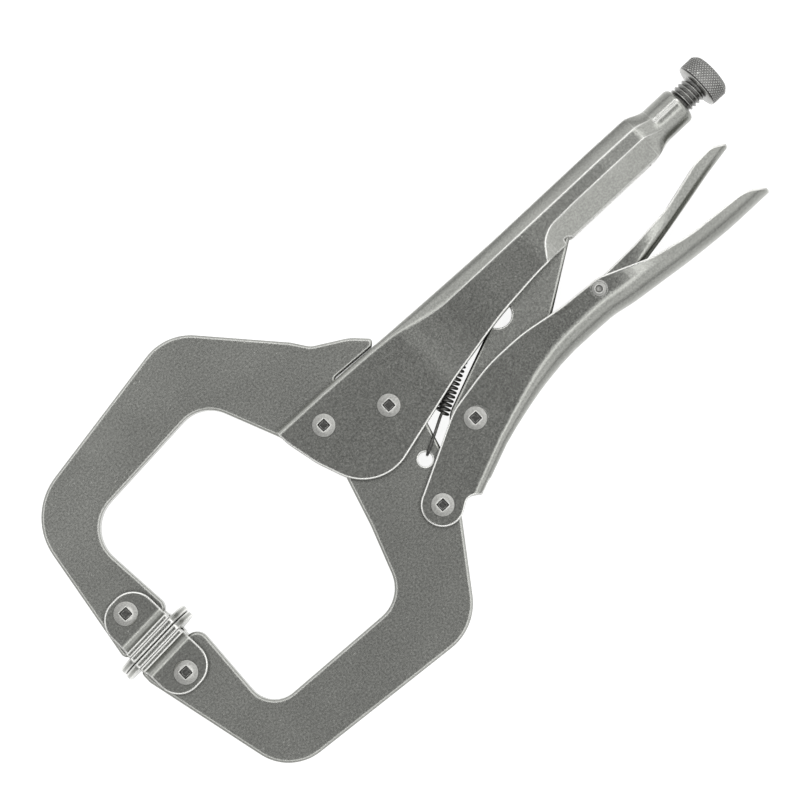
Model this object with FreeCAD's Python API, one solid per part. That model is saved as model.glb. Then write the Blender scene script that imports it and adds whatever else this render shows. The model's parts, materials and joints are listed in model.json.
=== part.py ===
"""Locking C-clamp pliers, 280 mm long, built piece by piece from folded sheet, plate and rivets.

Lengths are in mm. The outlines are laid out flat with the jaw pivot at (0, 0): X runs along the adjusting
screw towards its knob, Y towards the back of the fixed handle, and Z through the tool's thickness. Every
piece is then moved by PLACE, which puts the tool's lowest point on Z = 0 and its middle on the origin.
"""
import FreeCAD, Part
import math
import os

Vector = FreeCAD.Vector
AXIS_X = Vector(1, 0, 0)
AXIS_Z = Vector(0, 0, 1)

# driving dimensions
JAW_HALF = 3.5
WALL_INNER = 3.7
SHEET = 2.0
WALL_OUTER = WALL_INNER + SHEET
LINK_HALF = 3.2
SCREW_AXIS_Y = 7.95
TAIL_AXIS_Y = 7.5
SCREW_MAJOR_R = 4.75
SCREW_MINOR_R = 3.95
SCREW_PITCH = 1.5875
SCREW_TIP_X = 95.5
DOG_LENGTH = 4.0
TAIL_END_X = 140.8
TUBE_R = 6.6
COLLAR_START = 121.5
COLLAR_END = 130.3
SLOT_START_X = 129.3
KNOB_START_X = 147.8
KNOB_GROOVE_X = 149.5
KNOB_END_X = 156.0
KNOB_R = 8.3
RUNNING_FIT = 0.05
RIVET_HEAD_R = 3.9
SMALL_HEAD_R = 2.5
LEVER_GRIP = 8.3
PAD_R = 14.9
PAD_THICK = 2.35
PAD_FLAT = 11.8
PAD_REACH = 13.75
PAD_TILT = 3.4
EAR_SHEET = 1.8
EAR_WIDTH = 18.4
JAW_NOTCH_END_X = 7.6
PLACE = Vector(-15.5, 3.3, PAD_FLAT)

# pivot centres
FIXED_JAW_RIVET = (-20.3, 9.9)
JAW_PIVOT = (0.0, 0.0)
HANDLE_PIVOT = (-9.5, -36.3)
TOGGLE_PIVOT = (18.1, -22.7)
RELEASE_PIVOT = (77.2, -19.5)
UPPER_PAD_PIVOT = (-110.6, 9.0)
LOWER_PAD_PIVOT = (-109.2, -18.7)
SPRING_HOLE = (-3.3, -21.3)
SPRING_ANCHOR = (45.7, 4.0)


def rounded_wire(corners):
    """Closed wire through (x, y, radius) corners, each corner eased by its own radius."""
    spans = []
    count = len(corners)
    for i in range(count):
        here = Vector(corners[i][0], corners[i][1], 0)
        before = Vector(corners[i - 1][0], corners[i - 1][1], 0) - here
        after = Vector(corners[(i + 1) % count][0], corners[(i + 1) % count][1], 0) - here
        before.normalize()
        after.normalize()
        radius = corners[i][2]
        half = before.getAngle(after) / 2
        if radius == 0 or math.pi / 2 - half < 0.001:
            spans.append((here, here, here))
            continue
        reach = radius / math.tan(half)
        middle = before + after
        middle.normalize()
        bulge = radius / math.sin(half) - radius
        spans.append((here + before * reach, here + middle * bulge, here + after * reach))
    edges = []
    for i in range(count):
        start, middle, end = spans[i]
        if (end - start).Length > 1e-6:
            edges.append(Part.Arc(start, middle, end).toShape())
        following = spans[(i + 1) % count][0]
        if (following - end).Length > 1e-6:
            edges.append(Part.makeLine(end, following))
    return Part.Wire(edges)


def plate(corners, low, high):
    """Flat plate between two Z levels."""
    face = Part.Face(rounded_wire(corners))
    solid = face.extrude(Vector(0, 0, high - low))
    solid.translate(Vector(0, 0, low))
    return solid


def pin(centre, radius, low, high):
    """Upright cylinder between two Z levels."""
    return Part.makeCylinder(radius, high - low, Vector(centre[0], centre[1], low), AXIS_Z)


def rim_edges(solid, level):
    """Edges of a plate that lie on its two flat faces at Z = level and Z = -level."""
    found = []
    for edge in solid.Edges:
        box = edge.BoundBox
        if box.ZLength < 1e-6 and abs(abs(box.ZMin) - level) < 1e-6:
            found.append(edge)
    return found


def loft(wires):
    """Solid through closed sections."""
    return Part.makeLoft(wires, True, True)


def refine(stations, limit):
    """Add stations along smooth curves, so that no value changes by much more than limit between two."""
    slopes = []
    for i in range(len(stations)):
        if i == 0 or i == len(stations) - 1:
            slopes.append([0.0] * len(stations[i]))
            continue
        row = []
        for k in range(len(stations[i])):
            left = (stations[i][k] - stations[i - 1][k]) / (stations[i][0] - stations[i - 1][0])
            right = (stations[i + 1][k] - stations[i][k]) / (stations[i + 1][0] - stations[i][0])
            row.append(2 * left * right / (left + right) if left * right > 0 else 0.0)
        slopes.append(row)
    slopes[0] = slopes[1]
    slopes[-1] = slopes[-2]
    dense = [stations[0]]
    for i in range(len(stations) - 1):
        first, second = stations[i], stations[i + 1]
        run = second[0] - first[0]
        change = max(abs(b - a) for a, b in zip(first[2:], second[2:]))
        parts = min(4, max(1, math.ceil(change / limit)))
        for j in range(1, parts):
            t = j / parts
            row = [first[0] + run * t]
            for k in range(1, len(first)):
                value = (2 * t**3 - 3 * t**2 + 1) * first[k] + (3 * t**2 - 2 * t**3) * second[k]
                value += (t**3 - 2 * t**2 + t) * run * slopes[i][k] + (t**3 - t**2) * run * slopes[i + 1][k]
                row.append(value)
            dense.append(tuple(row))
        dense.append(second)
    return dense


def rivet(centre, shank_r, head_r, grip_half, head_height, recess):
    """Rivet with a domed head at each end and a recess punched into the upper head."""
    rim_height = 0.2 * head_height
    rise = head_height - rim_height
    dome_r = (head_r**2 + rise**2) / (2 * rise)
    shoulder_r = 0.55 * head_r
    shoulder_height = math.sqrt(dome_r**2 - shoulder_r**2) - dome_r + head_height
    rim = Vector(head_r, 0, grip_half + rim_height)
    shoulder = Vector(shoulder_r, 0, grip_half + shoulder_height)
    top = Vector(0, 0, grip_half + head_height)
    points = [Vector(0, 0, 0), Vector(shank_r, 0, 0), Vector(shank_r, 0, grip_half)]
    points += [Vector(head_r, 0, grip_half), rim]
    edges = [Part.makeLine(start, end) for start, end in zip(points, points[1:])]
    edges.append(Part.Arc(rim, shoulder, top).toShape())
    edges.append(Part.makeLine(top, points[0]))
    half = Part.Face(Part.Wire(edges)).revolve(Vector(0, 0, 0), AXIS_Z, 360)
    solid = half.fuse(half.mirror(Vector(0, 0, 0), AXIS_Z)).removeSplitter()
    solid = solid.cut(recess)
    solid.translate(Vector(centre[0], centre[1], 0))
    return solid


def square_recess(top, side, depth):
    """Square punch mark with sloping walls, sunk from Z = top."""
    bottom = side * 0.72
    wires = []
    for width, level in ((bottom, top - depth), (side, top + 0.01)):
        h = width / 2
        corners = [Vector(-h, -h, level), Vector(h, -h, level), Vector(h, h, level), Vector(-h, h, level)]
        corners.append(corners[0])
        wires.append(Part.makePolygon(corners))
    return Part.makeLoft(wires, True, True)


# ---------------------------------------------------------------- fixed jaw
def make_fixed_jaw():
    outline = [
        (-121.4, -2.6, 2.2),
        (-113.0, 55.65, 22.0),
        (-38.0, 68.8, 18.5),
        (-9.5, 37.8, 8.0),
        (-5.6, 32.2, 6.0),
        (5.8, 25.6, 14.0),
        (11.3, 20.1, 1.2),
        (9.3, 18.3, 1.0),
        (-7.2, 19.1, 1.0),
        (-7.2, 8.0, 0),
        (-9.0, -3.6, 0),
        (-22.0, -3.2, 6.0),
        (-31.0, 4.0, 4.0),
        (-33.6, 17.1, 10.0),
        (-45.0, 43.5, 12.0),
        (-102.3, 38.8, 12.8),
        (-98.8, 0.9, 4.0),
    ]
    jaw = plate(outline, -JAW_HALF, JAW_HALF)
    jaw = jaw.cut(pin(JAW_PIVOT, 12.4, -JAW_HALF, JAW_HALF))
    jaw = jaw.makeFillet(0.8, rim_edges(jaw, JAW_HALF))
    jaw = jaw.cut(pin(FIXED_JAW_RIVET, 3.0, -JAW_HALF, JAW_HALF))
    return jaw.cut(pin(UPPER_PAD_PIVOT, 3.0 + RUNNING_FIT, -JAW_HALF, JAW_HALF))


# ---------------------------------------------------------------- moving jaw
def make_moving_jaw():
    outline = [
        (-26.0, -5.6, 1.5),
        (-31.6, -25.0, 30.0),
        (-40.4, -49.9, 12.5),
        (-97.6, -47.4, 9.5),
        (-96.1, -10.6, 4.2),
        (-120.4, -8.0, 2.0),
        (-120.4, -13.0, 6.0),
        (-106.9, -67.2, 17.0),
        (-29.0, -73.8, 19.0),
        (-5.2, -40.3, 4.0),
        (1.4, -28.0, 5.0),
        (6.9, -8.0, 0),
        (0.0, 0.0, 0),
        (-10.5, -4.6, 0),
    ]
    jaw = plate(outline, -JAW_HALF, JAW_HALF)
    jaw = jaw.fuse(pin(JAW_PIVOT, 12.0, -JAW_HALF, JAW_HALF)).removeSplitter()
    jaw = jaw.makeFillet(0.9, rim_edges(jaw, JAW_HALF))
    jaw = jaw.cut(pin(JAW_PIVOT, 3.0 + RUNNING_FIT, -JAW_HALF, JAW_HALF))
    jaw = jaw.cut(pin(HANDLE_PIVOT, 3.0 + RUNNING_FIT, -JAW_HALF, JAW_HALF))
    jaw = jaw.cut(pin(LOWER_PAD_PIVOT, 3.0 + RUNNING_FIT, -JAW_HALF, JAW_HALF))
    hole = pin(SPRING_HOLE, 2.5, -JAW_HALF, JAW_HALF)
    return jaw.cut(hole)


# ---------------------------------------------------------------- fixed handle
# x, back, half width, height and run of the folded top corner, its bulge, lower ridge, lip half width
UPPER_STATIONS = [
    (-37.0, 19.1, 5.7, 1.9, 1.5, 0.5, -20.0, 5.7),
    (-14.0, 18.8, 5.7, 1.9, 1.5, 0.5, -20.0, 5.7),
    (8.0, 18.0, 5.7, 1.9, 1.5, 0.5, -20.0, 5.7),
    (16.0, 17.7, 5.8, 2.2, 1.6, 0.5, -20.0, 5.8),
    (26.0, 17.4, 6.6, 4.0, 2.4, 0.6, -10.0, 6.6),
    (36.0, 17.1, 7.4, 5.2, 3.0, 0.6, -10.0, 7.4),
    (50.0, 16.7, 8.0, 4.9, 3.1, 0.5, -10.0, 8.0),
    (66.0, 16.4, 8.3, 4.6, 3.1, 0.3, -8.0, 8.3),
    (71.0, 16.4, 8.4, 4.6, 3.1, 0.2, -1.2, 8.3),
    (76.0, 16.4, 8.4, 4.6, 3.1, 0.2, 4.9, 6.3),
    (81.0, 16.4, 8.4, 4.6, 3.1, 0.2, 6.9, 5.65),
    (90.0, 16.4, 8.4, 4.6, 3.1, 0.2, 7.2, 5.6),
    (106.0, 16.4, 8.4, 4.6, 3.1, 0.2, 7.2, 5.6),
    (COLLAR_START, 16.2, 8.2, 4.6, 3.1, 0.2, 7.1, 5.6),
]
LIP_Y = -0.9


def upper_half(station):
    """Right half of the fixed handle's section, as (z, y) points from its back to below its lip."""
    x, back, half, drop, run, bulge, ridge, lip = station
    slope = (half - lip) / (ridge - LIP_Y) if ridge > LIP_Y + 0.5 else 0.0
    foot = min(-5.0, ridge - 12.0)
    return [(half - run, back), (half, back - drop), (half, ridge), (half - slope * (ridge - foot), foot)]


def inset(points, depth):
    """Move a (z, y) polyline inwards by a sheet's thickness, starting square to the back."""
    normals = [(0.0, 1.0)]
    for (z0, y0), (z1, y1) in zip(points, points[1:]):
        length = math.hypot(z1 - z0, y1 - y0)
        normals.append(((y0 - y1) / length, (z1 - z0) / length))
    normals.append(normals[-1])
    moved = []
    for i, (z, y) in enumerate(points):
        az, ay = normals[i]
        bz, by = normals[i + 1]
        scale = depth / (1 + az * bz + ay * by)
        moved.append((z - (az + bz) * scale, y - (ay + by) * scale))
    return moved


def section_wire(x, half_points, bulge):
    """Closed section at x, mirrored about Z = 0, with curved top corners."""
    left = [Vector(x, y, z) for z, y in half_points]
    right = [Vector(x, y, -z) for z, y in half_points]
    edges = [Part.makeLine(right[0], left[0])]
    for points, sign in ((left, 1), (right, -1)):
        middle = (points[0] + points[1]) * 0.5
        across = points[1] - points[0]
        out = Vector(0, sign * across.z, -sign * across.y)
        out.normalize()
        corner = Part.Arc(points[0], middle + out * bulge, points[1]).toShape()
        run = [corner, Part.makeLine(points[1], points[2]), Part.makeLine(points[2], points[3])]
        if sign == 1:
            edges += run
            edges.append(Part.makeLine(left[3], right[3]))
        else:
            edges += reversed(run)
    return Part.Wire(Part.__sortEdges__(edges))


def upper_sections(depth):
    wires = []
    for station in refine(UPPER_STATIONS, 0.8):
        points = upper_half(station)
        bulge = station[5]
        if depth:
            points = inset(points, depth)
            z, y = points[3]
            z2, y2 = points[2]
            points[3] = (z + (z - z2) * 0.3, y + (y - y2) * 0.3)
            bulge = min(0.3, bulge)
        wires.append(section_wire(station[0], points, bulge))
    return wires


def collar_sections():
    """Sections that turn the channel's eight sides into the round tail tube."""
    last_station = UPPER_STATIONS[-1]
    first = upper_half(last_station)[:3]
    first.append((last_station[7], LIP_Y))
    last = []
    for angle in (67.5, 22.5, -22.5, -67.5):
        turn = math.radians(angle)
        last.append((TUBE_R * math.cos(turn), TAIL_AXIS_Y + TUBE_R * math.sin(turn)))
    round_bulge = TUBE_R * (1 - math.cos(math.pi / 8))
    corner_bulge = last_station[5]
    wires = []
    steps = 8
    for i in range(steps + 1):
        t = i / steps
        ease = t * t * (3 - 2 * t)
        half = [(a[0] + (b[0] - a[0]) * ease, a[1] + (b[1] - a[1]) * ease) for a, b in zip(first, last)]
        loop = half + [(-z, y) for z, y in reversed(half)]
        x = COLLAR_START + (COLLAR_END - COLLAR_START) * t
        points = [Vector(x, y, z) for z, y in loop]
        edges = []
        for k in range(8):
            start = points[k]
            end = points[(k + 1) % 8]
            flat_bulge = corner_bulge if k in (0, 6) else 0.0
            bulge = flat_bulge + (round_bulge - flat_bulge) * ease
            if bulge < 0.001:
                edges.append(Part.makeLine(start, end))
                continue
            along = end - start
            out = Vector(0, along.z, -along.y)
            out.normalize()
            middle = (start + end) * 0.5
            if out.dot(middle - Vector(x, TAIL_AXIS_Y, 0)) < 0:
                out = out * -1
            edges.append(Part.Arc(start, middle + out * bulge, end).toShape())
        wires.append(Part.Wire(edges))
    return wires


def make_upper_handle():
    outline = [
        (-33.9, 30.0, 0),
        (-33.4, 14.5, 25.0),
        (-30.6, 2.5, 25.0),
        (-21.9, -20.0, 17.0),
        (22.0, -8.5, 90.0),
        (48.0, -3.5, 90.0),
        (66.0, -1.75, 90.0),
        (80.2, -1.4, 0.4),
        (80.2, 0.5, 0.4),
        (81.5, 0.5, 0.4),
        (83.4, LIP_Y, 2.0),
        (124.0, LIP_Y, 0),
        (124.0, 30.0, 0),
    ]
    blank = plate(outline, -12.0, 12.0)
    handle = loft(upper_sections(0)).common(blank)
    cavity = loft(upper_sections(SHEET))
    cavity = cavity.common(Part.makeBox(158.0, 60.0, 24.0, Vector(-38.0, -40.0, -12.0)))
    handle = handle.cut(cavity)
    handle = handle.cut(Part.makeBox(33.0, 20.0, 2 * WALL_INNER, Vector(-40.0, 8.0, -WALL_INNER)))

    collar = loft(collar_sections())
    tail_start = Vector(COLLAR_END, TAIL_AXIS_Y, 0)
    tube = Part.makeCylinder(TUBE_R, TAIL_END_X - COLLAR_END, tail_start, AXIS_X)
    tube = tube.makeFillet(1.7, [e for e in tube.Edges if abs(e.BoundBox.XMin - TAIL_END_X) < 0.01])
    handle = handle.fuse(collar).fuse(tube)
    for level in (TUBE_R - 0.35, -TUBE_R - 0.35):
        handle = handle.cut(Part.makeBox(20.0, 0.9, 0.7, Vector(SLOT_START_X, TAIL_AXIS_Y + 0.9, level)))
    bore_r = SCREW_MAJOR_R + RUNNING_FIT
    handle = handle.cut(Part.makeCylinder(bore_r, 30.0, Vector(112.0, SCREW_AXIS_Y, 0), AXIS_X))
    for centre in (FIXED_JAW_RIVET, JAW_PIVOT):
        handle = handle.cut(pin(centre, 3.0, -10.0, 10.0))

    tab = plate([
        (44.0, 15.0, 0),
        (50.5, 15.0, 0),
        (48.5, 1.6, 1.6),
        (44.0, 1.6, 1.6),
    ], -0.8, 0.8)
    tab = tab.cut(pin(SPRING_ANCHOR, 1.3, -1.0, 1.0))
    return handle.fuse(tab).removeSplitter()


# ---------------------------------------------------------------- moving handle
# x, back, half width above the corner, corner radius, outward lean of the wall in degrees
LOWER_STATIONS = [
    (-24.0, -53.5, 5.7, 2.9, 0.0),
    (0.0, -44.0, 5.7, 3.2, 0.0),
    (20.0, -36.1, 5.7, 3.6, 0.0),
    (33.0, -32.5, 6.1, 4.6, 0.0),
    (45.0, -30.1, 6.9, 6.0, 0.0),
    (58.0, -28.8, 7.7, 6.9, 0.0),
    (74.0, -29.1, 8.3, 7.2, 0.0),
    (84.0, -30.7, 8.4, 7.6, 4.0),
    (96.0, -32.1, 8.5, 8.0, 16.0),
    (110.0, -33.6, 8.5, 8.4, 24.0),
    (128.0, -34.6, 8.2, 8.2, 26.0),
    (148.0, -34.7, 7.6, 7.8, 26.0),
]


def channel_wire(x, back, half, radius, lean, brim):
    """Round-cornered channel section at x. Its back is at Y = back and its walls run up past Y = brim."""
    tilt = math.radians(lean)
    halfway = (math.pi / 2 + tilt) / 2
    side = half - radius * math.cos(tilt)
    start = Vector(x, back, side)
    middle = Vector(x, back + radius * (1 - math.sin(halfway)), side + radius * math.cos(halfway))
    knee = Vector(x, back + radius * (1 - math.sin(tilt)), half)
    rim = Vector(x, brim, half + (brim - knee.y) * math.tan(tilt))
    flip = [Vector(p.x, p.y, -p.z) for p in (start, middle, knee, rim)]
    edges = [
        Part.makeLine(flip[0], start),
        Part.Arc(start, middle, knee).toShape(),
        Part.makeLine(knee, rim),
        Part.makeLine(rim, flip[3]),
        Part.makeLine(flip[3], flip[2]),
        Part.Arc(flip[2], flip[1], flip[0]).toShape(),
    ]
    return Part.Wire(edges)


def folded_channel(stations, sheet, brim):
    """Outer and inner solids of a folded channel."""
    outer = []
    inner = []
    for x, back, half, radius, lean in refine(stations, 0.6):
        outer.append(channel_wire(x, back, half, radius, lean, brim))
        bend = max(radius - sheet, 0.8)
        shrink = sheet / math.cos(math.radians(lean)) if radius - sheet < 0.8 else sheet
        inner.append(channel_wire(x, back + sheet, half - shrink, bend, lean, brim + 3.0))
    return loft(outer), loft(inner)


def make_lower_handle():
    outline = [
        (-12.9, -29.9, 0),
        (14.5, -15.9, 22.0),
        (33.0, -12.5, 60.0),
        (48.0, -12.7, 60.0),
        (64.0, -15.3, 40.0),
        (79.5, -16.4, 12.0),
        (97.5, -23.9, 30.0),
        (112.0, -27.0, 50.0),
        (135.0, -28.7, 14.0),
        (142.2, -33.4, 1.2),
        (141.6, -36.0, 0),
        (60.0, -60.0, 0),
        (2.9, -52.0, 0),
        (2.9, -42.9, 0),
        (-1.4, -39.8, 3.5),
        (-5.9, -42.65, 0),
        (-9.5, -36.3, 0),
    ]
    blank = plate(outline, -12.0, 12.0).fuse(pin(HANDLE_PIVOT, 7.3, -12.0, 12.0))
    outer, inner = folded_channel(LOWER_STATIONS, SHEET, 5.0)
    handle = outer.common(blank).cut(inner)
    notch_half = WALL_INNER + RUNNING_FIT
    handle = handle.cut(Part.makeBox(JAW_NOTCH_END_X, 12.0, 2 * notch_half, Vector(0, -50.0, -notch_half)))
    end = [
        (-30.0, -12.0, 0),
        (141.9, -12.0, 9.5),
        (141.9, 12.0, 9.5),
        (-30.0, 12.0, 0),
    ]
    rounding = plate(end, -60.0, 5.0)
    rounding.rotate(Vector(0, 0, 0), AXIS_X, -90)
    handle = handle.common(rounding)
    seats = [
        (HANDLE_PIVOT, 3.0, RIVET_HEAD_R, WALL_OUTER),
        (TOGGLE_PIVOT, 3.0, RIVET_HEAD_R, WALL_OUTER),
        (RELEASE_PIVOT, 1.8, SMALL_HEAD_R, LEVER_GRIP),
    ]
    for centre, shank_r, head_r, level in seats:
        handle = handle.cut(pin(centre, shank_r, -12.0, 12.0))
        for low in (level, -12.0):
            handle = handle.cut(pin(centre, head_r + RUNNING_FIT, low, low + 12.0 - level))
    return handle


# ---------------------------------------------------------------- release lever
LEVER_SHEET = 1.4
# x, back, half width above the corner, corner radius, outward lean of the wall in degrees
LEVER_STATIONS = [
    (58.0, -30.0, 5.3, 2.2, 0.0),
    (74.0, -27.6, 5.3, 2.2, 0.0),
    (88.0, -24.9, 5.3, 2.4, 0.0),
    (97.0, -23.0, 5.3, 2.8, 4.0),
    (106.0, -21.4, 5.3, 3.4, 12.0),
    (120.0, -18.5, 5.4, 4.2, 18.0),
    (132.0, -15.9, 5.4, 4.4, 20.0),
    (144.0, -13.8, 5.4, 4.4, 20.0),
]


def make_release_lever():
    outline = [
        (62.4, -17.7, 1.6),
        (79.0, -17.1, 10.0),
        (97.0, -16.7, 40.0),
        (112.0, -15.3, 40.0),
        (129.5, -10.7, 14.0),
        (137.0, -10.3, 6.0),
        (142.3, -13.1, 0.7),
        (141.5, -16.0, 0),
        (120.0, -30.0, 0),
        (84.0, -30.0, 0),
        (80.0, -24.7, 3.0),
        (68.0, -24.1, 4.0),
        (62.4, -21.4, 2.0),
    ]
    blank = plate(outline, -12.0, 12.0)
    outer, inner = folded_channel(LEVER_STATIONS, LEVER_SHEET, 0.0)
    lever = outer.common(blank).cut(inner)
    end = [
        (40.0, -12.0, 0),
        (141.9, -12.0, 8.0),
        (141.9, 12.0, 8.0),
        (40.0, 12.0, 0),
    ]
    rounding = plate(end, -60.0, 5.0)
    rounding.rotate(Vector(0, 0, 0), AXIS_X, -90)
    lever = lever.common(rounding)
    return lever.cut(pin(RELEASE_PIVOT, 1.8 + RUNNING_FIT, -12.0, 12.0))


# ---------------------------------------------------------------- toggle link
def make_toggle_link():
    outline = [
        (14.8, -14.9, 0),
        (84.6, 13.2, 4.0),
        (94.0, 7.4, 4.0),
        (59.4, -15.6, 3.0),
        (21.4, -30.5, 0),
    ]
    link = plate(outline, -LINK_HALF, LINK_HALF)
    link = link.fuse(pin(TOGGLE_PIVOT, 8.5, -LINK_HALF, LINK_HALF)).removeSplitter()
    link = link.makeFillet(1.0, rim_edges(link, LINK_HALF))
    link = link.cut(pin((47.4, -2.1), 5.0, -5.0, 5.0))
    return link.cut(pin(TOGGLE_PIVOT, 3.0 + RUNNING_FIT, -5.0, 5.0))


# ---------------------------------------------------------------- adjusting screw
def make_adjusting_screw():
    start = SCREW_TIP_X + DOG_LENGTH
    profile = [
        (start, 0),
        (start, SCREW_MINOR_R - 0.2),
        (start + 1.0, SCREW_MAJOR_R),
        (KNOB_START_X, SCREW_MAJOR_R),
        (KNOB_START_X, KNOB_R - 2.0),
        (KNOB_START_X + 1.3, KNOB_R - 0.1),
        (KNOB_GROOVE_X - 0.15, KNOB_R - 0.1),
        (KNOB_GROOVE_X, KNOB_R - 0.6),
        (KNOB_GROOVE_X + 0.25, KNOB_R - 0.6),
        (KNOB_GROOVE_X + 0.4, KNOB_R),
        (KNOB_END_X - 1.8, KNOB_R),
        (KNOB_END_X - 0.2, KNOB_R - 1.5),
        (KNOB_END_X, KNOB_R - 2.6),
        (KNOB_END_X, 0),
    ]
    points = [Vector(x, r, 0) for x, r in profile]
    points.append(points[0])
    screw = Part.Face(Part.makePolygon(points)).revolve(Vector(0, 0, 0), AXIS_X, 360)
    screw = screw.cut(Part.makeCylinder(2.0 + RUNNING_FIT, 7.0, Vector(start, 0, 0), AXIS_X))

    turns_start = start - 2 * SCREW_PITCH
    length = KNOB_START_X - 1.0 - turns_start
    helix = Part.makeLongHelix(SCREW_PITCH, length, SCREW_MINOR_R)
    root = SCREW_MINOR_R
    crest = SCREW_MAJOR_R + 0.35
    profile = [
        Vector(root, 0, -0.12),
        Vector(crest, 0, -0.72),
        Vector(crest, 0, 0.72),
        Vector(root, 0, 0.12),
        Vector(root, 0, -0.12),
    ]
    groove = Part.Wire(helix.Edges).makePipeShell([Part.makePolygon(profile)], True, True)
    groove.rotate(Vector(0, 0, 0), Vector(0, 1, 0), 90)
    groove.translate(Vector(turns_start, 0, 0))
    screw = screw.cut(groove)
    screw.translate(Vector(0, SCREW_AXIS_Y, 0))
    return screw


def make_screw_tip():
    centre = Vector(SCREW_TIP_X, SCREW_AXIS_Y, 0)
    point = Part.makeCylinder(3.4, DOG_LENGTH - 0.1, centre, AXIS_X)
    point = point.makeChamfer(0.6, [e for e in point.Edges if abs(e.BoundBox.XMax - SCREW_TIP_X) < 0.01])
    return point.fuse(Part.makeCylinder(2.0, DOG_LENGTH + 6.0, centre, AXIS_X)).removeSplitter()


# ---------------------------------------------------------------- spring
def rod(start, end, radius):
    """Round wire between two points, with ball ends."""
    straight = Part.makeCylinder(radius, (end - start).Length, start, end - start)
    ball = 1.08 * radius
    return straight.fuse(Part.makeSphere(ball, start)).fuse(Part.makeSphere(ball, end))


def make_spring():
    """Stretched coil spring whose two end hooks sit in the moving jaw's hole and the fixed handle's tab."""
    wire_r = 0.5
    coil_r = 2.0
    foot = Vector(-1.75, -20.6, 0)
    head = Vector(SPRING_ANCHOR[0], SPRING_ANCHOR[1], 0)
    axis = head - foot
    length = axis.Length
    coil_start = 15.5
    coil_end = length - 9.0
    turns = 18
    helix = Part.makeHelix((coil_end - coil_start) / turns, coil_end - coil_start, coil_r)
    ring = Part.Wire(Part.makeCircle(wire_r, Vector(coil_r, 0, 0), Vector(0, 1, 0)))
    spring = Part.Wire(helix.Edges).makePipeShell([ring], True, True)
    spring.rotate(Vector(0, 0, 0), Vector(0, 1, 0), 90)
    spring.rotate(Vector(0, 0, 0), AXIS_X, 180)
    spring.translate(Vector(coil_start, 0, 0))
    over_jaw = JAW_HALF + 0.65
    foot_path = [(coil_start, coil_r), (8.5, over_jaw), (0.0, over_jaw), (0.0, -over_jaw), (2.0, -over_jaw)]
    tab = 1.5
    turned = length - tab
    head_path = [(coil_end, coil_r), (turned, tab), (length, tab), (length, -tab), (turned, -tab)]
    for path in (foot_path, head_path):
        points = [Vector(x, 0, z) for x, z in path]
        for start, end in zip(points, points[1:]):
            spring = spring.fuse(rod(start, end, wire_r))
    spring.rotate(Vector(0, 0, 0), AXIS_Z, math.degrees(math.atan2(axis.y, axis.x)))
    spring.translate(foot)
    return spring


# ---------------------------------------------------------------- swivel pads
def make_pad_disc():
    """Disc with two flats, lying below a pivot at the origin, contact face down."""
    disc = Part.makeCylinder(PAD_R, PAD_THICK, Vector(0, -PAD_REACH, 0), Vector(0, 1, 0))
    disc = disc.common(Part.makeBox(40.0, 40.0, 2 * PAD_FLAT, Vector(-20.0, -30.0, -PAD_FLAT)))
    edges = [e for e in disc.Edges if e.BoundBox.YLength < 1e-6]
    return disc.makeChamfer(0.3, edges)


def make_pad_ear():
    """Ear above the jaw plate: an upright cheek that bends outwards into a flange on the disc's back."""
    seat = PAD_THICK - PAD_REACH
    inner = JAW_HALF + 0.2
    outer = inner + EAR_SHEET
    bend = 3.0
    top = 9.5
    half = EAR_WIDTH / 2
    knee = seat + EAR_SHEET + bend
    lower = seat + 0.9
    section = [
        Part.makeLine(Vector(0, top, inner), Vector(0, lower, inner)),
        Part.makeLine(Vector(0, lower, inner), Vector(0, seat, inner + 0.9)),
        Part.makeLine(Vector(0, seat, inner + 0.9), Vector(0, seat, PAD_FLAT)),
        Part.makeLine(Vector(0, seat, PAD_FLAT), Vector(0, seat + EAR_SHEET, PAD_FLAT)),
        Part.makeLine(Vector(0, seat + EAR_SHEET, PAD_FLAT), Vector(0, seat + EAR_SHEET, outer + bend)),
        Part.Arc(
            Vector(0, seat + EAR_SHEET, outer + bend),
            Vector(0, knee - bend * math.sqrt(0.5), outer + bend * (1 - math.sqrt(0.5))),
            Vector(0, knee, outer),
        ).toShape(),
        Part.makeLine(Vector(0, knee, outer), Vector(0, top, outer)),
        Part.makeLine(Vector(0, top, outer), Vector(0, top, inner)),
    ]
    ear = Part.Face(Part.Wire(section)).extrude(Vector(EAR_WIDTH, 0, 0))
    ear.translate(Vector(-half, 0, 0))
    silhouette = plate([
        (-half, -20.0, 0),
        (half, -20.0, 0),
        (half, 5.9, 8.2),
        (-half, 5.9, 8.2),
    ], 0.0, 20.0)
    ear = ear.common(silhouette)
    return ear.cut(pin((0, 0), 3.0, 0.0, 10.0))


def set_pad(shape, pivot, lower):
    """Turn a pad piece from its own frame onto its jaw. The contact faces rise slightly towards +X."""
    if lower:
        shape = shape.mirror(Vector(0, 0, 0), Vector(0, 1, 0))
    shape.rotate(Vector(0, 0, 0), AXIS_Z, PAD_TILT)
    shape.translate(Vector(pivot[0], pivot[1], 0))
    return shape


def rear(shape):
    return shape.mirror(Vector(0, 0, 0), AXIS_Z)


# ---------------------------------------------------------------- assembly
grip = WALL_OUTER
head = 1.3
square = square_recess(grip + head, 3.4, 1.6)
pad_grip = JAW_HALF + 0.2 + EAR_SHEET
pad_square = square_recess(pad_grip + head, 3.5, 1.6)
small_head = 0.9
dimple = Part.makeSphere(1.5, Vector(0, 0, LEVER_GRIP + small_head + 0.5))

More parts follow.
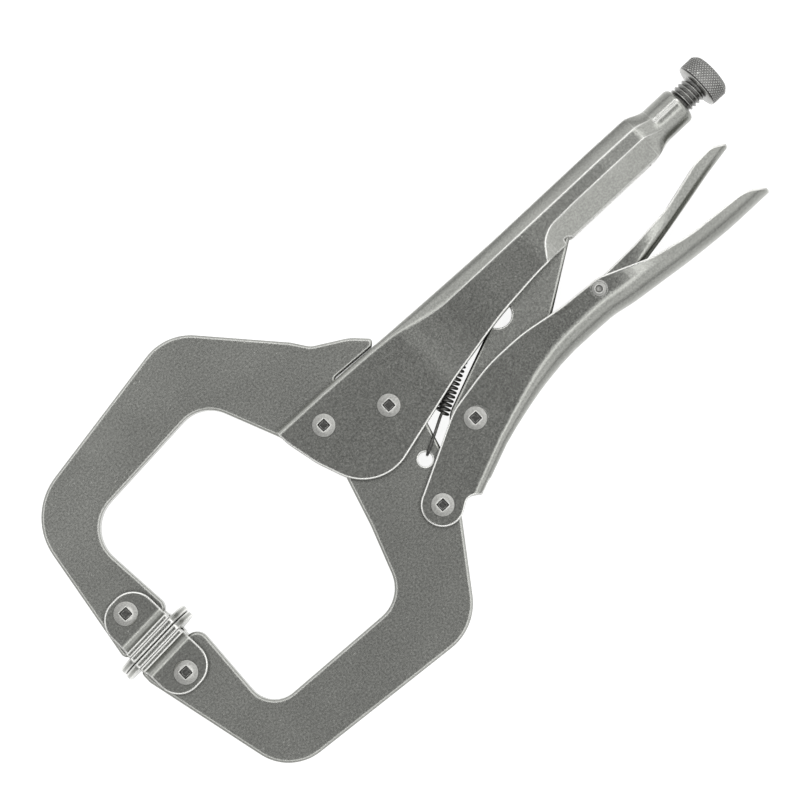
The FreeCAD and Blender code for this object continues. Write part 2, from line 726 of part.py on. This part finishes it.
nodes = {
    "upper_handle": make_upper_handle(),
    "fixed_jaw": make_fixed_jaw(),
    "moving_jaw": make_moving_jaw(),
    "lower_handle": make_lower_handle(),
    "toggle_link": make_toggle_link(),
    "release_lever": make_release_lever(),
    "adjusting_screw": make_adjusting_screw(),
    "screw_tip": make_screw_tip(),
    "spring": make_spring(),
    "fixed_jaw_rivet": rivet(FIXED_JAW_RIVET, 3.0, RIVET_HEAD_R, grip, head, square),
    "jaw_pivot_rivet": rivet(JAW_PIVOT, 3.0, RIVET_HEAD_R, grip, head, square),
    "handle_pivot_rivet": rivet(HANDLE_PIVOT, 3.0, RIVET_HEAD_R, grip, head, square),
    "toggle_pivot_rivet": rivet(TOGGLE_PIVOT, 3.0, RIVET_HEAD_R, grip, head, square),
    "release_lever_rivet": rivet(RELEASE_PIVOT, 1.8, SMALL_HEAD_R, LEVER_GRIP, small_head, dimple),
    "upper_pad_rivet": rivet(UPPER_PAD_PIVOT, 3.0, 4.1, pad_grip, head, pad_square),
    "lower_pad_rivet": rivet(LOWER_PAD_PIVOT, 3.0, 4.1, pad_grip, head, pad_square),
    "upper_pad_disc": set_pad(make_pad_disc(), UPPER_PAD_PIVOT, False),
    "upper_pad_ear_front": set_pad(make_pad_ear(), UPPER_PAD_PIVOT, False),
    "upper_pad_ear_back": set_pad(rear(make_pad_ear()), UPPER_PAD_PIVOT, False),
    "lower_pad_disc": set_pad(make_pad_disc(), LOWER_PAD_PIVOT, True),
    "lower_pad_ear_front": set_pad(make_pad_ear(), LOWER_PAD_PIVOT, True),
    "lower_pad_ear_back": set_pad(rear(make_pad_ear()), LOWER_PAD_PIVOT, True),
}

os.makedirs("parts", exist_ok=True)
for name, shape in nodes.items():
    shape.translate(PLACE)
    shape.exportStep("parts/" + name + ".step")
    box = shape.BoundBox
    extent = [round(value, 1) for value in (box.XLength, box.YLength, box.ZLength)]
    print(name, len(shape.Solids), shape.isValid(), round(shape.Volume), extent)
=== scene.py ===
"""Looks for the locking C-clamp pliers: finishes, knurled screw, coil spring, camera and light.

Everything is in metres in the row frame: +X along the screw towards its knob, +Z up.
"""
import json
import math

import bmesh
import bpy
from mathutils import Matrix, Vector


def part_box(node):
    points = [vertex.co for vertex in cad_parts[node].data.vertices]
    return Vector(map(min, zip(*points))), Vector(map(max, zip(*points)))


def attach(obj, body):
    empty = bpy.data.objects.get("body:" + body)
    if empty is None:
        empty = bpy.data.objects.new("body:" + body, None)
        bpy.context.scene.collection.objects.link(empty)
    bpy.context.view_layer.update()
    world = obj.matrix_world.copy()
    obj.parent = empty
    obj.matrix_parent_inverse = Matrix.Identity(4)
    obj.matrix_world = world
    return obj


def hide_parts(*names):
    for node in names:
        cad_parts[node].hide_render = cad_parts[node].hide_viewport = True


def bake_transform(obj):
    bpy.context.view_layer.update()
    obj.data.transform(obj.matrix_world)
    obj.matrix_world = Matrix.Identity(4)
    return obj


MM = 0.001
TAU = 2 * math.pi

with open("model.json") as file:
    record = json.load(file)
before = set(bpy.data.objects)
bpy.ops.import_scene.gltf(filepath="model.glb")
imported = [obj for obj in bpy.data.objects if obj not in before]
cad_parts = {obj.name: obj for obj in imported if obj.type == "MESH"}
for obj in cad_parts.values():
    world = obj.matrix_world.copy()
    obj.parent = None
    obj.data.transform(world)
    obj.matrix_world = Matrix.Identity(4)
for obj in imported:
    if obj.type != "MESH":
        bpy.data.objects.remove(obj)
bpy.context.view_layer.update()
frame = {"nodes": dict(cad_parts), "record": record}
nodes = frame["nodes"]
joints = {joint["name"]: joint for joint in frame["record"]["behaviour"]["joints"]}
jaw_pivot = Vector(joints["jaw_pivot"]["pos_m"])
screw_axis = Vector(joints["screw_turn"]["pos_m"])


# ---------------------------------------------------------------- materials
class Nodes:
    """A short way to build a node tree."""

    def __init__(self, tree):
        self.tree = tree

    def add(self, kind, inputs=None, **settings):
        node = self.tree.nodes.new(kind)
        for name, value in settings.items():
            setattr(node, name, value)
        for name, value in (inputs or {}).items():
            if isinstance(value, bpy.types.NodeSocket):
                self.tree.links.new(value, node.inputs[name])
            else:
                node.inputs[name].default_value = value
        return node

    def ramp(self, source, stops):
        node = self.add("ShaderNodeValToRGB", {"Fac": source})
        points = node.color_ramp.elements
        while len(points) < len(stops):
            points.new(0.5)
        for point, (place, level) in zip(points, stops):
            point.position = place
            point.color = (level[0], level[1], level[2], 1.0)
        return node.outputs["Color"]

    def math(self, operation, *values):
        return self.add("ShaderNodeMath", dict(enumerate(values)), operation=operation).outputs[0]

    def blend(self, share, below, above):
        """Mix two colours; share 1 gives the one above."""
        node = self.add("ShaderNodeMix", data_type="RGBA")
        for socket, value in ((node.inputs[0], share), (node.inputs[6], below), (node.inputs[7], above)):
            if isinstance(value, bpy.types.NodeSocket):
                self.tree.links.new(value, socket)
            else:
                socket.default_value = value
        return node.outputs[2]

    def span(self, source, low, high, to_low, to_high):
        inputs = {"Value": source, "From Min": low, "From Max": high, "To Min": to_low, "To Max": to_high}
        return self.add("ShaderNodeMapRange", inputs).outputs["Result"]


DIRT = (0.12, 0.115, 0.105, 1.0)
# painted highlight: a near-white base colour laid along edges in place of the bright reflections of rounded
# corners
EDGE_HIGHLIGHT = (0.93, 0.93, 0.90, 1.0)
# painted shade: a near-black base colour for recesses, crevices and contact lines
SHADE_TINT = (0.05, 0.05, 0.048, 1.0)
# painted shade for the roots and painted highlight for the points of cut teeth
TOOTH_ROOT_SHADE = (0.03, 0.03, 0.03, 1.0)
TOOTH_POINT_HIGHLIGHT = (0.85, 0.85, 0.82, 1.0)


def plated_steel(name, tone, rough, edge, highlight, shade, reach, relief=0.0):
    """Tumbled plated steel: fine grain and a few small pits.

    Corners are eased over edge metres and get a painted highlight, a near-white base colour, by the share
    highlight.
    Recesses, crevices and contact lines, judged over reach metres, get painted shade, a near-black base
    colour, by the share shade. Cut teeth get painted shade in their roots and a painted highlight on their
    points by the share relief.
    """
    mat = bpy.data.materials.new(name)
    mat.use_nodes = True
    tree = mat.node_tree
    n = Nodes(tree)
    shader = tree.nodes["Principled BSDF"]
    where = n.add("ShaderNodeTexCoord").outputs["Object"]
    cloud = n.add("ShaderNodeTexNoise", {"Vector": where, "Scale": 55.0, "Detail": 2.0})
    grain = n.add("ShaderNodeTexNoise", {
        "Vector": where, "Scale": 1500.0, "Detail": 3.0, "Roughness": 0.7,
    })
    cells = n.add("ShaderNodeTexVoronoi", {"Vector": where, "Scale": 800.0, "Randomness": 1.0})
    hollow = n.span(cells.outputs["Distance"], 0.0, 0.3, 1.0, 0.0)
    chance = n.add("ShaderNodeTexNoise", {"Vector": where, "Scale": 420.0, "Detail": 2.0})
    rare = n.span(chance.outputs["Fac"], 0.58, 0.68, 0.0, 1.0)
    pits = n.math("MULTIPLY", hollow, rare)

    dark = tuple(0.74 * value for value in tone)
    light = tuple(1.24 * value for value in tone)
    weight = n.math("MULTIPLY", grain.outputs["Fac"], 0.75)
    mixed = n.math("MULTIPLY_ADD", cloud.outputs["Fac"], 0.25, weight)
    base = n.ramp(n.span(mixed, 0.30, 0.70, 0.0, 1.0), [(0.0, dark), (1.0, light)])
    base = n.blend(n.span(pits, 0.2, 1.0, 0.0, 0.4), base, DIRT)

    soft = n.add("ShaderNodeBevel", {"Radius": edge}, samples=8).outputs["Normal"]
    plain = n.add("ShaderNodeNewGeometry").outputs["Normal"]
    facing = n.add("ShaderNodeVectorMath", {0: soft, 1: plain}, operation="DOT_PRODUCT").outputs["Value"]
    # painted highlight: the base colour turns near-white where the eased normal leaves the flat one, that
    # is along every edge
    highlight_mask = n.span(facing, 0.9995, 0.985, 0.0, highlight)
    base = n.blend(highlight_mask, base, EDGE_HIGHLIGHT)
    # painted shade: the base colour darkens where ambient occlusion finds recesses, crevices and contact
    # lines, such as a rivet head's square hole
    open_sky = n.add("ShaderNodeAmbientOcclusion", {"Distance": reach}, samples=8).outputs["AO"]
    shade_mask = n.span(open_sky, 0.45, 0.9, shade, 0.0)
    base = n.blend(shade_mask, base, SHADE_TINT)
    # painted shade in the roots and painted highlight on the points of the screw's thread and knurl, found
    # by the mesh's pointiness
    if relief:
        point = n.add("ShaderNodeNewGeometry").outputs["Pointiness"]
        base = n.blend(n.span(point, 0.40, 0.50, relief, 0.0), base, TOOTH_ROOT_SHADE)
        base = n.blend(n.span(point, 0.51, 0.62, 0.0, relief), base, TOOTH_POINT_HIGHLIGHT)
    tree.links.new(base, shader.inputs["Base Color"])
    shader.inputs["Metallic"].default_value = 1.0
    rough_map = n.span(grain.outputs["Fac"], 0.3, 0.7, rough - 0.03, rough + 0.03)
    tree.links.new(rough_map, shader.inputs["Roughness"])

    grained = n.add("ShaderNodeBump", {
        "Strength": 0.4, "Distance": 0.00004, "Height": grain.outputs["Fac"], "Normal": soft,
    })
    pitted = n.add("ShaderNodeBump", {
        "Strength": 0.5, "Distance": 0.00006, "Height": pits, "Normal": grained.outputs["Normal"],
    })
    pitted.invert = True
    tree.links.new(pitted.outputs["Normal"], shader.inputs["Normal"])
    return mat


def blackened_wire():
    """Oiled black spring wire with faint drawn streaks and lighter rubbed patches."""
    mat = bpy.data.materials.new("blackened_wire")
    mat.use_nodes = True
    tree = mat.node_tree
    n = Nodes(tree)
    shader = tree.nodes["Principled BSDF"]
    where = n.add("ShaderNodeTexCoord").outputs["Object"]
    streak = n.add("ShaderNodeTexNoise", {"Vector": where, "Scale": 1100.0, "Detail": 3.0})
    base = n.ramp(streak.outputs["Fac"], [(0.3, (0.05, 0.05, 0.048)), (0.7, (0.16, 0.158, 0.15))])
    tree.links.new(base, shader.inputs["Base Color"])
    shader.inputs["Metallic"].default_value = 0.85
    tree.links.new(n.span(streak.outputs["Fac"], 0.3, 0.7, 0.28, 0.42), shader.inputs["Roughness"])
    bump = n.add("ShaderNodeBump", {
        "Strength": 0.3, "Distance": 0.00003, "Height": streak.outputs["Fac"],
    })
    tree.links.new(bump.outputs["Normal"], shader.inputs["Normal"])
    return mat


# name, tone, roughness, edge easing, share of painted edge highlight, share of painted recess shade, reach
# of the recess test, and for the screw the share of painted shade and highlight on its teeth
FINISH = {
    "plate_steel": plated_steel("plate_steel", (0.40, 0.405, 0.38), 0.26, 0.0008, 0.95, 0.5, 0.0016),
    "sheet_steel": plated_steel("sheet_steel", (0.39, 0.395, 0.37), 0.24, 0.0010, 0.95, 0.5, 0.0016),
    "rivet_steel": plated_steel("rivet_steel", (0.45, 0.45, 0.43), 0.22, 0.0004, 0.6, 0.9, 0.0025),
    "screw_steel": plated_steel("screw_steel", (0.31, 0.31, 0.30), 0.22, 0.0001, 0.9, 0.8, 0.0007, 0.7),
    "spring_steel": blackened_wire(),
}


def dress(obj, slot):
    """Give a piece its slot's material."""
    obj.data.materials.clear()
    obj.data.materials.append(FINISH[slot])


slot_of = {part["node"]: part["material_slot"] for part in frame["record"]["subparts"]}
for name, obj in nodes.items():
    dress(obj, slot_of[name])


# ---------------------------------------------------------------- mesh helpers
def piece_from(bm, name, slot):
    """Turn a bmesh into a smooth-shaded piece with its slot's finish."""
    bmesh.ops.remove_doubles(bm, verts=bm.verts, dist=1e-7)
    bmesh.ops.recalc_face_normals(bm, faces=bm.faces)
    mesh = bpy.data.meshes.new(name)
    bm.to_mesh(mesh)
    bm.free()
    mesh.shade_smooth()
    obj = bpy.data.objects.new(name, mesh)
    bpy.context.scene.collection.objects.link(obj)
    dress(obj, slot)
    return obj


def add_tube(bm, rings):
    """Skin closed rings of points into a tube with flat ends."""
    grid = [[bm.verts.new(point) for point in ring] for ring in rings]
    around = len(grid[0])
    for i in range(len(grid) - 1):
        for j in range(around - 1):
            bm.faces.new((grid[i][j], grid[i][j + 1], grid[i + 1][j + 1], grid[i + 1][j]))
        bm.faces.new((grid[i][-1], grid[i][0], grid[i + 1][0], grid[i + 1][-1]))
    bm.faces.new(grid[0])
    bm.faces.new(reversed(grid[-1]))


# ---------------------------------------------------------------- adjusting screw
PITCH = 1.5875 * MM
THREAD_ROOT = 3.95 * MM
THREAD_CREST = 4.74 * MM
THREAD_COLUMNS = 72
# place along one pitch, and the share of the thread's depth there
THREAD_FORM = [(0.0, 0.0), (0.09, 0.0), (0.46, 0.92), (0.50, 1.0), (0.58, 1.0), (0.62, 0.92)]
KNURL_COUNT = 44
KNURL_STEP = 1.3 * MM
KNURL_DEPTH = 0.50 * MM
KNURL_SAMPLES = 6
KNOB_LENGTH = 7.9 * MM
FLANGE_LENGTH = 0.75 * MM


def thread_radius(share, x, start, end):
    """The thread's radius at x: it fades in over the entry chamfer and runs out before the knob."""
    entry = (x - start) / (1.0 * MM)
    runout = (end - x) / (0.8 * MM)
    return THREAD_ROOT + (THREAD_CREST - THREAD_ROOT) * share * max(0.0, min(1.0, entry, runout))


def screw_place(point):
    """Put a point given along the screw, and square to it, in the row frame."""
    x, across, upward = point
    return Vector((x, screw_axis.y + across, screw_axis.z + upward))


def add_thread(bm, start, end):
    """A right-hand thread, skinned between lines along the shank that follow the helix around it."""
    lines = []
    turns = math.ceil((end - start) / PITCH) + 2
    for column in range(THREAD_COLUMNS + 1):
        angle = TAU * column / THREAD_COLUMNS
        line = []
        for turn in range(-2, turns):
            for place, share in THREAD_FORM:
                x = start + PITCH * (turn + place + column / THREAD_COLUMNS)
                x = min(max(x, start), end)
                radius = thread_radius(share, x, start, end)
                line.append((x, radius * math.cos(angle), radius * math.sin(angle)))
        lines.append(line)
    shared = len(THREAD_FORM)
    grid = [[bm.verts.new(screw_place(point)) for point in line] for line in lines[:-1]]
    for column in range(THREAD_COLUMNS):
        here = grid[column]
        if column + 1 < THREAD_COLUMNS:
            there = grid[column + 1]
        else:
            there = grid[0][shared:] + [grid[0][-1]] * shared
        for k in range(len(here) - 1):
            corners = [here[k], there[k], there[k + 1], here[k + 1]]
            flat = []
            for vert in corners:
                if all((vert.co - other.co).length > 1e-7 for other in flat):
                    flat.append(vert)
            if len(flat) > 2:
                bm.faces.new(flat)


def knob_profile(knob_start, knob_end, knob_r, groove):
    """Radius of the knob along X, and the share of the knurl's depth there."""
    below = 0.1 * MM
    return [
        (knob_start, knob_r - 2.6 * MM, 0.0),
        (knob_start + 0.1 * MM, knob_r - 1.2 * MM, 0.0),
        (knob_start + 0.4 * MM, knob_r - 0.3 * MM, 0.0),
        (groove - 0.15 * MM, knob_r - below, 0.0),
        (groove, knob_r - 0.6 * MM, 0.0),
        (groove + 0.25 * MM, knob_r - 0.6 * MM, 0.0),
        (groove + 0.4 * MM, knob_r, 0.7),
        (knob_end - 1.9 * MM, knob_r, 1.0),
        (knob_end - 1.3 * MM, knob_r - 0.45 * MM, 0.9),
        (knob_end - 0.3 * MM, knob_r - 1.4 * MM, 0.6),
        (knob_end, knob_r - 2.6 * MM, 0.0),
    ]


def follow(profile, x):
    """Interpolate a profile's values at x."""
    for before, after in zip(profile, profile[1:]):
        if x <= after[0]:
            t = (x - before[0]) / (after[0] - before[0])
            return [a + (b - a) * t for a, b in zip(before[1:], after[1:])]
    return list(profile[-1][1:])


def knurl(turn, x):
    """Height of the crossed grooves, from 0 at a groove's bottom to 1 on a diamond's point."""
    left = turn * KNURL_COUNT + x / KNURL_STEP
    right = turn * KNURL_COUNT - x / KNURL_STEP
    return 1.0 - max(abs(2 * (left % 1.0) - 1.0), abs(2 * (right % 1.0) - 1.0))


def add_knob(bm, knob_start, knob_end, knob_r):
    """The knob: a plain flange, a groove, and a diamond-knurled grip with a bevelled end."""
    groove = knob_start + FLANGE_LENGTH
    profile = knob_profile(knob_start, knob_end, knob_r, groove)
    places = {row[0] for row in profile}
    step = KNURL_STEP / KNURL_SAMPLES
    grip = groove + 0.4 * MM
    while grip < knob_end - 0.1 * MM:
        if min(abs(grip - place) for place in places) > 0.3 * step:
            places.add(grip)
        grip += step
    columns = KNURL_COUNT * KNURL_SAMPLES
    rings = []
    for x in sorted(places):
        radius, share = follow(profile, x)
        ring = []
        for column in range(columns):
            turn = column / columns
            height = radius - KNURL_DEPTH * share * (1.0 - min(1.0, 1.25 * knurl(turn, x)))
            ring.append(screw_place((x, height * math.cos(TAU * turn), height * math.sin(TAU * turn))))
        rings.append(ring)
    add_tube(bm, rings)


def make_screw():
    """The adjusting screw, with its thread and knob, in place of the plainer CAD one."""
    low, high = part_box("adjusting_screw")
    knob_r = (high[1] - low[1]) / 2
    knob_start = high[0] - KNOB_LENGTH
    bm = bmesh.new()
    add_thread(bm, low[0], knob_start + 1.0 * MM)
    add_knob(bm, knob_start, high[0], knob_r)
    screw = piece_from(bm, "knurled_screw", "screw_steel")
    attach(screw, "screw")
    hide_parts("adjusting_screw")


# ---------------------------------------------------------------- spring
WIRE_R = 0.5 * MM
COIL_R = 2.0 * MM
COIL_TURNS = 20
WIRE_SIDES = 12
SPRING_FOOT = jaw_pivot + Vector((-1.75, -20.6, 0)) * MM
SPRING_HEAD = jaw_pivot + Vector((45.7, 4.0, 0)) * MM


def smooth_path(points, steps):
    """A smooth line through every point."""
    path = []
    for i in range(len(points) - 1):
        before = points[max(i - 1, 0)]
        start, end = points[i], points[i + 1]
        after = points[min(i + 2, len(points) - 1)]
        for k in range(steps):
            t = k / steps
            slope_in = (end - before) * 0.5
            slope_out = (after - start) * 0.5
            point = start * (2 * t**3 - 3 * t**2 + 1) + end * (3 * t**2 - 2 * t**3)
            path.append(point + slope_in * (t**3 - 2 * t**2 + t) + slope_out * (t**3 - t**2))
    path.append(points[-1])
    return path


def wire_rings(path, radius, sides):
    """Round sections along a path, each turned as little as possible from the one before."""
    across = Vector((0, 1, 0))
    rings = []
    for i, point in enumerate(path):
        ahead = (path[min(i + 1, len(path) - 1)] - path[max(i - 1, 0)]).normalized()
        across = (across - ahead * across.dot(ahead)).normalized()
        other = ahead.cross(across)
        ring = []
        for k in range(sides):
            turn = TAU * k / sides
            ring.append(point + (across * math.cos(turn) + other * math.sin(turn)) * radius)
        rings.append(ring)
    return rings


def make_spring():
    """The coil spring, from its hook through the moving jaw's hole to the tab inside the fixed handle."""
    along = (SPRING_HEAD - SPRING_FOOT).normalized()
    length = (SPRING_HEAD - SPRING_FOOT).length
    side = Vector((0, 0, 1)).cross(along)

    def place(x, y, z):
        return SPRING_FOOT + along * (x * MM) + side * (y * MM) + Vector((0, 0, z * MM))

    reach = length / MM
    coil_start, coil_end = 14.6, reach - 8.4
    coil_r = COIL_R / MM
    points = [place(x, 0, z) for x, z in [(2.3, -4.3), (0.9, -4.3), (0.1, -3.0), (0.0, 0.0), (0.1, 3.0)]]
    lead_in = [(0.9, 0, 4.3), (3.5, 0, 4.35), (8.0, 0, 4.1), (12.2, 0.1, 3.0)]
    points += [place(x, y, z) for x, y, z in lead_in]
    per_turn = 14
    for k in range(COIL_TURNS * per_turn + 1):
        turn = k / per_turn
        angle = TAU * turn
        x = coil_start + (coil_end - coil_start) * turn / COIL_TURNS
        points.append(place(x, -coil_r * math.sin(angle), coil_r * math.cos(angle)))
    tab_hook = [(5.5, 1.6), (2.4, 1.6), (0.3, 1.3), (0.0, 0.0), (0.3, -1.3), (1.7, -1.5)]
    points += [place(reach - x, 0, z) for x, z in tab_hook]
    bm = bmesh.new()
    add_tube(bm, wire_rings(smooth_path(points, 3), WIRE_R, WIRE_SIDES))
    spring = piece_from(bm, "coil_spring", "spring_steel")
    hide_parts("spring")
    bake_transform(spring)


make_screw()
make_spring()


# ---------------------------------------------------------------- floor, light and camera
def add_floor():
    """A pale floor that is lit from within, as on a light table, so that shadows stay faint."""
    mesh = bpy.data.meshes.new("floor")
    half = 3.0
    corners = [(-half, -half, 0), (half, -half, 0), (half, half, 0), (-half, half, 0)]
    mesh.from_pydata(corners, [], [(0, 1, 2, 3)])
    floor = bpy.data.objects.new("floor", mesh)
    bpy.context.scene.collection.objects.link(floor)
    mat = bpy.data.materials.new("pale_floor")
    mat.use_nodes = True
    n = Nodes(mat.node_tree)
    shader = mat.node_tree.nodes["Principled BSDF"]
    shader.inputs["Base Color"].default_value = (0.42, 0.42, 0.42, 1.0)
    shader.inputs["Roughness"].default_value = 0.9
    shader.inputs["Specular IOR Level"].default_value = 0.05
    shader.inputs["Emission Color"].default_value = (1.0, 1.0, 1.0, 1.0)
    slant = n.add("ShaderNodeLayerWeight", {"Blend": 0.5}).outputs["Facing"]
    mat.node_tree.links.new(n.span(slant, 0.1, 0.7, 0.86, 0.40), shader.inputs["Emission Strength"])
    mesh.materials.append(mat)


# height of a direction above the horizon as a sine, and the soft light that comes from there
STUDIO = [
    (0.0, 0.32),
    (0.20, 0.55),
    (0.40, 0.98),
    (0.62, 0.94),
    (0.78, 0.80),
    (0.86, 0.98),
    (0.91, 2.20),
    (0.945, 2.00),
    (0.975, 0.34),
    (0.99, 0.13),
    (1.0, 0.10),
]
STUDIO_STRENGTH = 2.5


def add_studio():
    """A dim patch overhead in a bright ring, then soft light down to the horizon, stronger towards +X."""
    world = bpy.data.worlds.new("studio")
    world.use_nodes = True
    tree = world.node_tree
    n = Nodes(tree)
    direction = n.add("ShaderNodeTexCoord").outputs["Generated"]
    split = n.add("ShaderNodeSeparateXYZ", {"Vector": direction}).outputs
    aside = n.span(split["X"], -0.9, 0.9, 0.72, 1.28)
    stops = [(place, [level / STUDIO_STRENGTH] * 3) for place, level in STUDIO]
    background = tree.nodes["Background"]
    tree.links.new(n.ramp(split["Z"], stops), background.inputs["Color"])
    tree.links.new(n.math("MULTIPLY", aside, STUDIO_STRENGTH), background.inputs["Strength"])
    bpy.context.scene.world = world


TURN = math.radians(43.1)
TILT = math.radians(3.2)
DISTANCE = 1.0
VIEW_WIDTH = 266.7 * MM
AIM = jaw_pivot + Vector((4.1, -1.05, 0.7)) * MM


def add_camera():
    """A camera nearly straight above, turned so that the tool lies across the picture's diagonal."""
    up_flat = Vector((math.sin(TURN), math.cos(TURN), 0))
    right = Vector((math.cos(TURN), -math.sin(TURN), 0))
    away = Vector((0, 0, 1)) * math.cos(TILT) - up_flat * math.sin(TILT)
    up = away.cross(right)
    data = bpy.data.cameras.new("camera")
    data.lens = data.sensor_width * DISTANCE / VIEW_WIDTH
    camera = bpy.data.objects.new("camera", data)
    rotation = Matrix((right, up, away)).transposed().to_4x4()
    camera.matrix_world = Matrix.Translation(AIM + away * DISTANCE) @ rotation
    bpy.context.scene.collection.objects.link(camera)
    bpy.context.scene.camera = camera


add_floor()
add_studio()
add_camera()
bpy.context.scene.view_settings.view_transform = "Standard"
